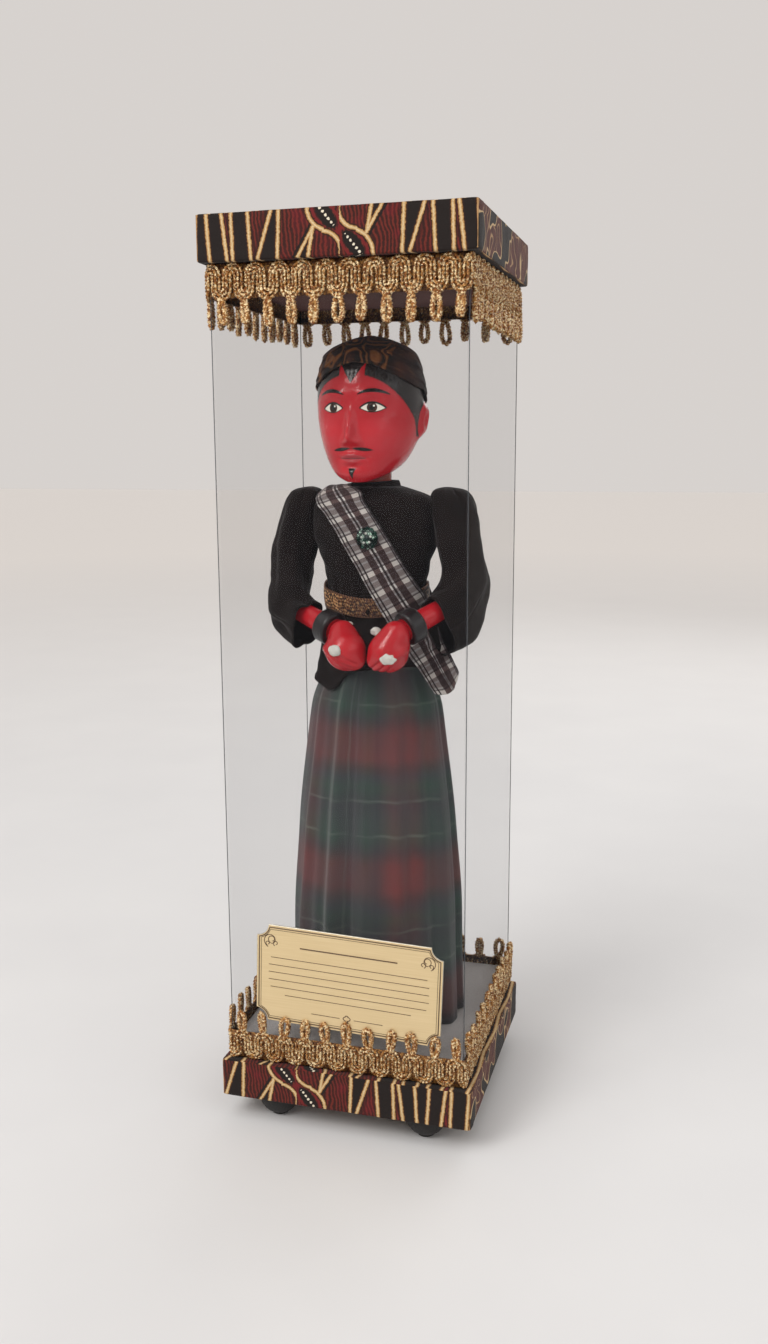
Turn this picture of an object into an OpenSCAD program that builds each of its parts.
// Wayang golek rod puppet in its clear display case.
// The front faces -Y, +X is the puppet's left, +Z is up, and the origin is on the surface
// that the case stands on, under the middle of its base. All sizes are in millimetres.

/* [Case] */
// Width and depth of the base and of the cap
case_w = 120; // [118:1:124]
// Height of the base block, without its feet
base_h = 18.5; // [16:0.5:20]
// Height of the cap
cap_h = 19.5; // [16:0.5:22]
// Height of the clear panes
pane_h = 358; // [354:1:370]
// Outside width of the four panes together
sleeve_w = 111; // [110:1:112]
// Thickness of a pane
pane_t = 1; // [0.8:0.1:1.2]
// Height of the feet
foot_h = 12; // [10:0.5:14]
// Radius of a foot
foot_r = 10; // [9:0.5:11]
// Thickness of the patterned cloth on the base and the cap
cloth_t = 0.6; // [0.4:0.1:0.8]

/* [Braid] */
// Height of the braid's woven band
band_h = 15; // [13:0.5:16]
// Thickness of the woven band
band_t = 3; // [2.6:0.1:3.2]
// Length of the braid's loops
loop_l = 9.5; // [7:0.5:10]
// Loops along one side
loops_per_side = 11; // [8:1:11]

/* [Plaque] */
// Width of the blank plaque
plaque_w = 88; // [80:1:92]
// Height of the blank plaque
plaque_h = 47; // [44:0.5:52]
// How far the plaque leans to one side, in degrees
plaque_lean = 2; // [0:0.1:4]

/* [Puppet] */
// How far the head is turned from the front, in degrees
head_yaw = -5; // [-8:1:8]
// Half of the head's width
head_half_w = 24.5; // [23:0.5:25]
// Radius of the central rod
rod_r = 3; // [2.6:0.1:3.4]
// Distance between the two shoulder joints
shoulder_span = 62; // [60:1:64]
// How far to the puppet's left its hands meet
hands_x = 6; // [0:0.5:7]
// Thickness of the garments
garment_t = 1.2; // [1:0.1:1.4]
// Radius of a forearm at the wrist
wrist_r = 5.2; // [4.8:0.1:5.4]

/* [Hidden] */

$fn = 48;
gap = 0.3;            // air between soft or loose pieces of different bodies
run_gap = 0.05;       // radial clearance of a turning fit
cut = 1;              // how far a cutting tool runs past what it cuts

// Heights of the case
base_top = foot_h + base_h;
plinth_h = 10;
stand_z = base_top + plinth_h;
pane_z = base_top + gap;
cap_z = base_top + pane_h;
cap_plinth_h = 8;
inner_w = sleeve_w - 2 * pane_t;

foot_x = 36;
foot_y = 46;
foot_flat_r = 4;
rod_socket_d = 9;

// Braid
loop_w = 5.4;
loop_t = 1.6;
loop_pitch = (sleeve_w + 2) / loops_per_side;

// Puppet heights, from the top of the plinth
hem_z = stand_z + 0.6;
hip_z = stand_z + 164;
waist_z = stand_z + 209;
shoulder_z = stand_z + 241;
chin_z = stand_z + 257;
head_x = -2;

// Joint places of the left arm; the right arm, s = -1, is built as a left one in a mirror
shoulder_y = 5;
shoulder = [shoulder_span / 2, shoulder_y, shoulder_z];
function elbow(s) = shoulder + (s > 0 ? [12, -12, -36] : [10, -18.5, -40]);
function reach(s) = let (d = s > 0 ? [-22, -27, -13] : [-30, -15.5, -10]) d / norm(d);
cord_r = 1.2;
elbow_cord_r = 0.85;
tongue_t = 3.6;
ear_t = 2.4;
ear_r = 3.8;
forearm_end = 35;
wrist_s = 37;
hand_s = 40;
peg_r = 1.8;
palm = [9.2, -36, shoulder_z - 59.5];
fingertip = [5.2, -36.6, shoulder_z - 63];
hand_cord_r = 0.9;

// Jacket sections from hem to neck: [height, half width, half depth]
JACKET = [
    [hip_z + 0, 30.5, 21.5], [hip_z + 12, 29.2, 19.6], [hip_z + 26, 26.8, 16.6],
    [waist_z - 2, 25.6, 15.2], [waist_z + 14, 27.5, 17], [shoulder_z - 10, 30, 18.2],
    [shoulder_z + 2, 30.5, 18], [shoulder_z + 9, 26, 15], [shoulder_z + 13, 11.4, 11]
];
// Sarong sections from waist to hem
SARONG = [
    [hem_z, 42.5, 37], [stand_z + 48, 41.5, 34.5], [stand_z + 100, 38.5, 29.5],
    [stand_z + 158, 31.5, 22], [stand_z + 164, 27, 18.6], [stand_z + 196, 22.5, 14]
];
// Carved torso sections from hip to neck
TORSO = [
    [hip_z + 3, 17, 12], [hip_z + 18, 20.5, 12.6], [waist_z - 4, 19, 12],
    [waist_z + 16, 22, 13.5], [shoulder_z - 2, 24.6, 13], [shoulder_z + 6, 20, 11],
    [shoulder_z + 9, 11, 9]
];
// Head sections from chin to crown: [height above the chin, middle's y, half width, half depth]
HEAD = [
    [0.0, -17.5, 4.5, 3.5], [1.2, -15.5, 8, 6.6], [3.2, -11.5, 12, 11.6], [6, -7.5, 15.2, 16],
    [10, -4.4, 18.2, 19.4], [15, -2.6, 20.6, 21.6], [21, -1.4, 22.6, 23.2], [28, -0.6, 24, 24.4],
    [36, 0, 24.5, 25], [43, 0, 24.2, 24.7], [50, 0, 22.4, 22.9], [56, 0, 18.6, 19],
    [60.5, 0, 13.4, 13.8], [63.5, 0, 7.4, 7.6], [65, 0, 2, 2]
];
// Relief on the face: [x, height above the chin, reach in x, reach in height, how far it stands out]
RELIEF = [
    [0, 21.5, 2.6, 5.5, 4.6], [0, 17.4, 4.2, 2.6, 2.6],          // nose and its wings
    [9.2, 32.5, 4.8, 3.2, -1.6], [-9.2, 32.5, 4.8, 3.2, -1.6],   // eye hollows
    [9.5, 38.5, 6, 2.4, 1.1], [-9.5, 38.5, 6, 2.4, 1.1],         // brows
    [0, 10.6, 6, 2.2, 1.7], [0, 3.6, 5, 2.8, 1.5],               // lips and chin
    [13, 21, 5, 5, 1.2], [-13, 21, 5, 5, 1.2]                    // cheeks
];

// ---- Helpers -----------------------------------------------------------------------------

// One level ring of points: an ellipse at height z, grown by g all round
function ring(z, rx, ry, g = 0, cx = 0, cy = 0, n = 28) = [
    for (i = [0:n - 1]) let (a = 360 * i / n) [cx + (rx + g) * cos(a), cy + (ry + g) * sin(a), z]
];

// A closed skin over rings of equally many points, either capped at both ends or joined in a loop
module skin(rings, loop = false) {
    n = len(rings[0]);
    m = len(rings);
    sides = [
        for (i = [0:(loop ? m : m - 1) - 1], j = [0:n - 1])
            let (a = i * n + j, b = i * n + (j + 1) % n,
                 c = ((i + 1) % m) * n + (j + 1) % n, d = ((i + 1) % m) * n + j)
            each [[a, d, c], [a, c, b]]
    ];
    caps = loop ? [] : [[for (j = [0:n - 1]) j], [for (j = [n - 1:-1:0]) (m - 1) * n + j]];
    polyhedron(points = [for (r = rings) each r], faces = concat(sides, caps), convexity = 8);
}

// A solid over sections [height, half width, half depth]
module loft(sections, n = 28) skin([for (s = sections) ring(s[0], s[1], s[2], n = n)]);

// The same as an open-ended shell of thickness t
module shell(sections, t, n = 28) {
    last = len(sections) - 1;
    skin(concat(
        [for (s = sections) ring(s[0], s[1], s[2], n = n)],
        [for (i = [last:-1:0]) ring(sections[i][0], sections[i][1], sections[i][2], -t, n = n)]
    ), loop = true);
}

// Puts a shape that stands on the XY plane on the line from p towards q
module along(p, q) {
    d = q - p;
    translate(p) rotate([0, acos(d[2] / norm(d)), atan2(d[1], d[0])]) children();
}

module bar(p, q, r1, r2) along(p, q) cylinder(h = norm(q - p), r1 = r1, r2 = r2);

// A cord from p to q with a knot on each end
module knotted(p, q, r, knot_r) along(p, q) {
    l = norm(q - p);
    cylinder(h = l, r = r);
    for (z = [0, l]) translate([0, 0, z - knot_r]) {
        cylinder(h = knot_r, r1 = knot_r / 2, r2 = knot_r);
        translate([0, 0, knot_r]) cylinder(h = knot_r, r1 = knot_r, r2 = knot_r / 2);
    }
}

// A cylinder along X, centred on p
module x_cylinder(p, r, l) translate(p) rotate([0, 90, 0]) cylinder(h = l, r = r, center = true);

module block(w, d, z, h) translate([-w / 2, -d / 2, z]) cube([w, d, h]);

// The right arm is the left one in a mirror
module side(s) if (s > 0) children(); else mirror([1, 0, 0]) children();

// ---- Case --------------------------------------------------------------------------------

module foot(sx, sy) {
    dome = [for (a = [asin(foot_flat_r / foot_r):6:90]) [foot_r * sin(a), foot_r * (1 - cos(a))]];
    color("black") translate([sx * foot_x, sy * foot_y, 0])
        rotate_extrude() polygon(concat(
            [[0, 0], [foot_flat_r, 0]],
            [for (p = dome) if (p[1] > 0) [p[0], p[1] * foot_h / (foot_r * 1.2)]],
            [[foot_r, foot_h], [0, foot_h]]
        ));
}

module base_board() {
    core_w = case_w - 2 * cloth_t;
    color("tan") difference() {
        block(core_w, core_w, foot_h + cloth_t, base_h - 2 * cloth_t);
        translate([0, 0, base_top - cloth_t - rod_socket_d])
            cylinder(h = rod_socket_d + cut, r = rod_r + run_gap);
    }
}

module base_cloth() {
    core_w = case_w - 2 * cloth_t;
    color("maroon") difference() {
        block(case_w, case_w, foot_h, base_h);
        block(core_w, core_w, foot_h + cloth_t, base_h - 2 * cloth_t);
        translate([0, 0, base_top - 2 * cloth_t]) cylinder(h = 3 * cloth_t, r = rod_r + 2 * gap);
    }
}

module base_plinth() {
    plinth_w = inner_w - 2 * gap;
    color("black") difference() {
        block(plinth_w, plinth_w, base_top, plinth_h);
        translate([0, 0, base_top - cut]) cylinder(h = plinth_h + 2 * cut, r = rod_r + run_gap);
    }
}

// A woven band round the panes with a row of loops on it; up = 1 points the loops up
module braid(inner, z, up) {
    outer = inner + 2 * band_t;
    loop_y = inner / 2 + band_t - loop_t - 0.4;
    band_z = up > 0 ? z : z - band_h;
    color("goldenrod") {
        difference() {
            block(outer, outer, band_z, band_h);
            block(inner, inner, band_z - cut, band_h + 2 * cut);
        }
        for (turn = [0:90:270], i = [0:loops_per_side - 1])
            rotate([0, 0, turn]) translate([(i - (loops_per_side - 1) / 2) * loop_pitch, -loop_y, z])
                mirror([0, 0, up > 0 ? 0 : 1]) translate([0, 0, band_h]) rotate([90, 0, 0])
                    linear_extrude(loop_t) loop_outline();
    }
}

// One loop of the braid, standing on the band's edge
module loop_outline() {
    straight = loop_l - loop_w / 2;
    difference() {
        union() {
            translate([-loop_w / 2, 0]) square([loop_w, straight]);
            translate([0, straight]) circle(d = loop_w);
        }
        translate([-0.6, 2]) square([1.2, straight - 2]);
    }
}

module lower_braid() braid(sleeve_w + 2 * gap, base_top, 1);
module upper_braid() braid(sleeve_w, cap_z, -1);

module pane(turn, w) {
    color("white", 0.25) rotate([0, 0, turn]) translate([-w / 2, -sleeve_w / 2, pane_z])
        cube([w, pane_t, pane_h - gap]);
}

module cap_board() {
    core_w = case_w - 2 * cloth_t;
    color("tan") block(core_w, core_w, cap_z + cloth_t, cap_h - 2 * cloth_t);
}

module cap_cloth() {
    core_w = case_w - 2 * cloth_t;
    color("maroon") difference() {
        block(case_w, case_w, cap_z, cap_h);
        block(core_w, core_w, cap_z + cloth_t, cap_h - 2 * cloth_t);
        block(inner_w, inner_w, cap_z - cut, cloth_t + 1.5 * cut);
    }
}

module cap_plinth() color("black") block(inner_w, inner_w, cap_z - cap_plinth_h, cap_plinth_h + cloth_t);

// A thin plate with hollowed corners, leaning to one side on the outside of the front pane
module plaque() {
    notch_r = 4.5;
    plaque_t = 0.8;
    color("khaki") translate([1.7, -sleeve_w / 2, stand_z + 33.2]) rotate([0, plaque_lean, 0])
        rotate([90, 0, 0]) linear_extrude(plaque_t) difference() {
            square([plaque_w, plaque_h], center = true);
            for (x = [-1, 1], y = [-1, 1])
                translate([x * plaque_w / 2, y * plaque_h / 2]) circle(r = notch_r);
        }
}

// ---- Body of the puppet --------------------------------------------------------------------

module torso() {
    color("burlywood") difference() {
        loft(TORSO);
        translate([0, 0, hip_z]) cylinder(h = 100, r = rod_r + run_gap);
        x_cylinder([0, shoulder_y, shoulder_z], cord_r + run_gap, shoulder_span);
    }
}

// The cord that both upper arms hang on, knotted outside each arm
module shoulder_cord() {
    end = shoulder + [8.6, 0, 0];
    color("ivory") knotted(end, end - [2 * end[0], 0, 0], cord_r, 2.1);
}

// The jacket's body, with round armholes at the shoulders
module jacket() {
    armhole_r = 9.2;
    color("dimgray") difference() {
        shell(JACKET, garment_t);
        for (s = [-1, 1])
            x_cylinder([s * shoulder_span / 2, shoulder_y - 1, shoulder_z - 2.5], armhole_r, 14);
    }
}

module jacket_collar() {
    z = shoulder_z + 13.2;
    color("dimgray") difference() {
        translate([0, 0, z]) cylinder(h = 3, r1 = 11.2, r2 = 10.4);
        translate([0, 0, z - cut]) cylinder(h = 3 + 2 * cut, r = 9.4);
    }
}

// The belt lies on the waist and dips at the front
belt_a = 27;
belt_b = 16.8;
belt_t = 1.2;
module belt() {
    w = 9;
    dip = 6;
    function belt_ring(dz, g) = [
        for (p = ring(0, belt_a, belt_b, g, n = 36))
            [p[0], p[1], waist_z - 3 + dz - dip * max(0, -p[1] / (belt_b + g))]
    ];
    color("goldenrod") skin([belt_ring(-w / 2, belt_t), belt_ring(w / 2, belt_t),
                             belt_ring(w / 2, 0), belt_ring(-w / 2, 0)], loop = true);
}

// The sash: from its hanging tail up over the chest, over the right shoulder and down the back.
// Rows: [left x, left z, right x, right z], the heights counted from the shoulders
SASH_FRONT = [
    [35.5, -83, 45, -73.5], [30, -75.5, 42.5, -68], [22, -65.5, 34.5, -57], [15, -55, 30, -45.5],
    [8.5, -44, 25, -34.5], [1.5, -32, 18.5, -23.5], [-6, -19, 12.5, -11], [-13.5, -6, 5.5, 0.5],
    [-20, 2.3, -2.5, 7], [-23.8, 4.4, -7.4, 8.8], [-25.8, 5.4, -10.4, 10.8]
];
SASH_BACK = [
    [-25.6, 5.4, -10, 10.8], [-23, 4, -8, 8.4], [-20, 2, -5, 6], [-12, -9, 3, -3], [-3, -22, 11, -15], [6, -35, 20, -28], [14, -46, 27, -40]
];
SASH_TOP = [-27, -12];
// Least depth of the sash in front of the puppet's middle: [height above the shoulders, depth]
SASH_DEPTH = [[-83, 15], [-70, 13], [-60, 7], [-46, 5], [20, 3]];
// Where the sash lies over the belt: [height above the shoulders, share]
SASH_ON_BELT = [[-53, 0], [-47, 1], [-29, 1], [-24, 0]];
sash_t = 1;
sash_off = 1.8;

function garment(z, k) = z > hip_z ? lookup(z, [for (s = JACKET) [s[0], s[k]]])
                                   : lookup(z, [for (s = SARONG) [s[0], s[k]]]);
function garment_y(x, z) = garment(z, 2) * sqrt(max(0, 1 - pow(x / garment(z, 1), 2)));
function belt_y(x) = (belt_b + belt_t) * sqrt(max(0, 1 - pow(x / (belt_a + belt_t), 2)));
// Height of the jacket's shoulder at a place x, y, found by halving
function shoulder_top(x, y, low = shoulder_z, high = shoulder_z + 13, n = 12) =
    let (mid = (low + high) / 2)
    n == 0 ? mid : garment_y(x, mid) > y ? shoulder_top(x, y, mid, high, n - 1)
                                         : shoulder_top(x, y, low, mid, n - 1);

function sash_row(row, front) = [
    for (j = [0:6]) let (
        x = row[0] + (row[2] - row[0]) * j / 6, h = row[1] + (row[3] - row[1]) * j / 6,
        z = shoulder_z + h, body = max(garment_y(x, z), lookup(h, SASH_DEPTH)),
        y = body + max(0, belt_y(x) - body) * lookup(h, SASH_ON_BELT) + sash_off
    ) [x, front ? -y : y, z]
];
function sash_over(y) = [
    for (j = [0:6]) let (x = SASH_TOP[0] + (SASH_TOP[1] - SASH_TOP[0]) * j / 6)
        [x, y, shoulder_top(x, abs(y)) + sash_off]
];
// A ring of the sash's thickness about a row of points
function thick_row(p, n) = concat([for (q = p) q + n * sash_t / 2],
                                  [for (j = [len(p) - 1:-1:0]) p[j] - n * sash_t / 2]);

module sash() {
    out = [0, -1, 0];
    color("slategray") skin(concat(
        [for (r = SASH_FRONT) thick_row(sash_row(r, true), out)],
        [for (y = [-7, -3.5, 0, 3.5, 7]) thick_row(sash_over(y), [0, 0, 1])],
        [for (r = SASH_BACK) thick_row(sash_row(r, false), -out)]
    ));
}

// A small round brooch on the sash, with beads on its face
module brooch() {
    bead_r = 0.9;
    c = [2.2, -21.6, shoulder_z - 8.8];
    color("darkgreen") translate(c) rotate([90, 0, 0]) {
        cylinder(h = 1.2, r = 4.2);
        for (i = [0:5]) rotate([0, 0, 60 * i]) translate([2.8, 0, 1.4]) sphere(r = bead_r, $fn = 24);
        translate([0, 0, 1.4]) sphere(r = bead_r * 1.3, $fn = 24);
    }
}

module sarong() color("darkslategray") shell(SARONG, garment_t, 32);

// ---- Head and rod --------------------------------------------------------------------------

function relief(x, h) = [for (f = RELIEF)
    f[4] * exp(-pow((x - f[0]) / f[2], 2) - pow((h - f[1]) / f[3], 2))] * [for (f = RELIEF) 1];

// The head's half width, half depth and middle at a height above the chin
function head_part(h, k) = lookup(h, [for (s = HEAD) [s[0], s[k]]]);

// A ring of the head, grown by g; face = 1 adds the face's relief at the front
function head_ring(h, g = 0, face = 0, n = 44) = [
    for (i = [0:n - 1])
        let (a = 360 * i / n, rx = head_part(h, 2) * head_half_w / 24.5 + g, ry = head_part(h, 3) + g,
             x = rx * cos(a), y = head_part(h, 1) + ry * sin(a),
             front = max(0, -sin(a)))
        [x + head_x, y - face * front * relief(x, h), chin_z + h]
];

module head_block() {
    heights = [0, 1.2, 3.2, 5, 7, 9, 11, 13, 15, 17, 19, 21, 23.5, 26, 29, 32, 35, 38, 41, 45, 50,
               56, 60.5, 63.5, 65];
    skin([for (h = heights) head_ring(h, face = 1)]);
}

module head() {
    neck_r = 7.6;
    neck_z = shoulder_z + 9.6;
    color("crimson") rotate([0, 0, head_yaw]) difference() {
        union() {
            head_block();
            translate([0, 0, neck_z]) cylinder(h = 16, r = neck_r);
        }
        translate([0, 0, neck_z - cut]) cylinder(h = 34 + cut, r = rod_r);
    }
}

// The folded head cloth: a close cap, lower at the back than over the brow
module head_cloth() {
    t = 1.3;
    brow = 50;
    crown = 65;
    // Steps run from the rim to the crown, and the rim is lower towards the back
    function cloth_ring(k) = [
        for (i = [0:43])
            let (a = 360 * i / 44, rim = brow - 10 * pow(cos(a), 2) - 18 * max(0, sin(a)),
                 h = rim + (crown - rim) * k,
                 rx = head_part(h, 2) * head_half_w / 24.5 + t, ry = head_part(h, 3) + t)
            [head_x + rx * cos(a), head_part(h, 1) + ry * sin(a), chin_z + h + t * k]
    ];
    color("saddlebrown") rotate([0, 0, head_yaw]) difference() {
        skin([for (k = [0, 0.15, 0.35, 0.55, 0.7, 0.82, 0.92, 1]) cloth_ring(k)]);
        head_block();
    }
}

module central_rod() {
    bottom = base_top - rod_socket_d + 1;
    color("peru") translate([0, 0, bottom]) cylinder(h = shoulder_z + 9.6 + 33 - bottom, r = rod_r);
}

module rod_collar() {
    color("peru") difference() {
        translate([0, 0, hip_z - 3.5]) cylinder(h = 6, r = 7);
        translate([0, 0, hip_z - 4.5]) cylinder(h = 8, r = rod_r);
    }
}

// ---- Arms ----------------------------------------------------------------------------------

// A point at distance d along the forearm from the elbow
function on_forearm(s, d) = elbow(s) + reach(s) * d;

module upper_arm(s) {
    color("crimson") difference() {
        union() {
            x_cylinder(shoulder + [1, 0, 0], 4.8, 7.4);
            bar(shoulder + [1.2, -0.5, -2], elbow(s) + [0, 1.6, 5.5], 4.4, 3.3);
            hull() {
                x_cylinder(elbow(s), ear_r - 0.2, tongue_t);
                x_cylinder(elbow(s) + [0, 1.6, 5], 2.8, tongue_t);
            }
        }
        x_cylinder(shoulder, cord_r + run_gap, 30);
        x_cylinder(elbow(s), elbow_cord_r + run_gap, 30);
    }
}

module forearm(s) {
    ear_x = (tongue_t + ear_t) / 2 + gap;
    knuckle = on_forearm(s, 8.5);
    color("crimson") difference() {
        union() {
            for (ear = [-1, 1]) hull() {
                x_cylinder(elbow(s) + [ear * ear_x, 0, 0], ear_r, ear_t);
                translate(knuckle + [ear * 2, 0, 0]) sphere(r = 3, $fn = 32);
            }
            bar(on_forearm(s, 6.5), on_forearm(s, forearm_end), 4.6, wrist_r);
        }
        x_cylinder(elbow(s), elbow_cord_r, 30);
        x_cylinder(elbow(s), ear_r + 0.5, tongue_t + 2 * gap);
        bar(on_forearm(s, forearm_end - 6), on_forearm(s, forearm_end + 1), peg_r, peg_r);
    }
}

module elbow_cord(s) {
    end = [tongue_t / 2 + ear_t + gap + 1.8, 0, 0];
    color("ivory") knotted(elbow(s) - end, elbow(s) + end, elbow_cord_r, 1.5);
}

module wrist_peg(s)
    color("burlywood") bar(on_forearm(s, forearm_end - 5.5), on_forearm(s, hand_s), peg_r, peg_r);

// A closed carved hand whose fingertips meet the other hand's
module hand(s) {
    mid = [s * hands_x, 0, 0];
    color("crimson") difference() {
        hull() {
            translate(on_forearm(s, hand_s)) sphere(r = 6.4, $fn = 32);
            translate(palm + mid) sphere(r = 8.4, $fn = 32);
            translate(fingertip + mid) sphere(r = 5, $fn = 32);
        }
        bar(on_forearm(s, forearm_end - 3), on_forearm(s, hand_s), peg_r, peg_r);
        bar(on_forearm(s, forearm_end - 8), on_forearm(s, forearm_end), 12, 12);
        bar(hand_cord_end(s, 0), hand_cord_end(s, 1), hand_cord_r, hand_cord_r);
    }
}

module bangle(s) {
    inner = wrist_r + 0.1;
    width = 7.4;
    tube = 1.3;
    color("darkslategray") along(on_forearm(s, forearm_end - width - 0.1), on_forearm(s, wrist_s))
        rotate_extrude() union() {
        translate([inner, 0]) square([tube, width]);
        translate([inner + tube, tube]) circle(r = tube, $fn = 24);
        translate([inner + tube, width - tube]) circle(r = tube, $fn = 24);
        translate([inner + tube, tube]) square([tube, width - 2 * tube]);
    }
}

// A short white cord through the hand, knotted at both ends
function hand_cord_end(s, end) = [
    [9.5, -40, -59.5], [1, -26.5, -56], [15, -38.5, -63], [8.8, -31.4, -49.6]
][(s > 0 ? 2 : 0) + end] + [0, 0, shoulder_z];

module hand_cord(s)
    color("white") knotted(hand_cord_end(s, 0), hand_cord_end(s, 1), hand_cord_r, 2.3);

// Upper part of a sleeve, puffed at the shoulder, open below and towards the armhole
module sleeve(s) {
    lean = s > 0 ? 0 : -4;
    front = (elbow(s)[1] + 7) / 2;
    // [height, middle's x, middle's y, half width, half depth]
    rings = [
        [shoulder_z - 22, 39.2 + lean, front - 2, 12, 13],
        [shoulder_z - 16, 38.8 + lean / 2, front / 2 - 1, 12.4, 13.4],
        [shoulder_z - 7, 37.4, 0.5, 12, 13.4], [shoulder_z + 4, 35.6, 2.5, 11, 12],
        [shoulder_z + 10, 34.4, 3, 7, 8], [shoulder_z + 12, 34, 3, 3, 3.5]
    ];
    last = len(rings) - 1;
    function sleeve_ring(r, g) = ring(r[0], r[3], r[4], g, r[1], r[2], 24);
    color("dimgray") difference() {
        skin(concat(
            [for (i = [last:-1:0])
                [for (p = sleeve_ring(rings[i], -garment_t)) p - [0, 0, i > 2 ? garment_t : 0]]],
            [for (r = rings) sleeve_ring(r, 0)]
        ));
        translate([0, -30, shoulder_z - 40]) cube([JACKET[6][1] + gap, 60, 60]);
    }
}

// Lower part of a sleeve: a wide bell that droops below the forearm
module sleeve_cuff(s) {
    w = reach(s);
    level = cross([0, 0, 1], w);
    e = level / norm(level);
    up = cross(w, e);
    rings = [[8.5, 1, 8, 9], [13, 2.2, 8.2, 10], [18, 3, 8, 11]];
    function cuff_ring(r, g) = [
        for (i = [0:23]) let (a = 15 * i)
            on_forearm(s, r[0]) - r[1] * up + (r[2] + g) * cos(a) * e + (r[3] + g) * sin(a) * up
    ];
    color("dimgray") skin(concat(
        [for (r = rings) cuff_ring(r, 0)],
        [for (i = [2:-1:0]) cuff_ring(rings[i], -garment_t)]
    ), loop = true);
}

// ---- Nodes ---------------------------------------------------------------------------------

foot(1, -1);  // foot_front_left
foot(-1, -1);  // foot_front_right
foot(1, 1);  // foot_back_left
foot(-1, 1);  // foot_back_right
base_board();
base_cloth();
base_plinth();
lower_braid();
torso();
shoulder_cord();
jacket();
jacket_collar();
belt();
sash();
brooch();
sarong();
head();
head_cloth();
central_rod();
rod_collar();
side(1) upper_arm(1);  // upper_arm_left
side(1) sleeve(1);  // sleeve_left
side(1) sleeve_cuff(1);  // sleeve_cuff_left
side(1) forearm(1);  // forearm_left
side(1) elbow_cord(1);  // elbow_cord_left
side(1) wrist_peg(1);  // wrist_peg_left
side(1) hand(1);  // hand_left
side(1) bangle(1);  // bangle_left
side(1) hand_cord(1);  // hand_cord_left
side(-1) upper_arm(-1);  // upper_arm_right
side(-1) sleeve(-1);  // sleeve_right
side(-1) sleeve_cuff(-1);  // sleeve_cuff_right
side(-1) forearm(-1);  // forearm_right
side(-1) elbow_cord(-1);  // elbow_cord_right
side(-1) wrist_peg(-1);  // wrist_peg_right
side(-1) hand(-1);  // hand_right
side(-1) bangle(-1);  // bangle_right
side(-1) hand_cord(-1);  // hand_cord_right
pane(0, sleeve_w);  // pane_front
pane(180, sleeve_w);  // pane_back
pane(90, inner_w);  // pane_left
pane(270, inner_w);  // pane_right
cap_board();
cap_cloth();
cap_plinth();
upper_braid();
plaque();
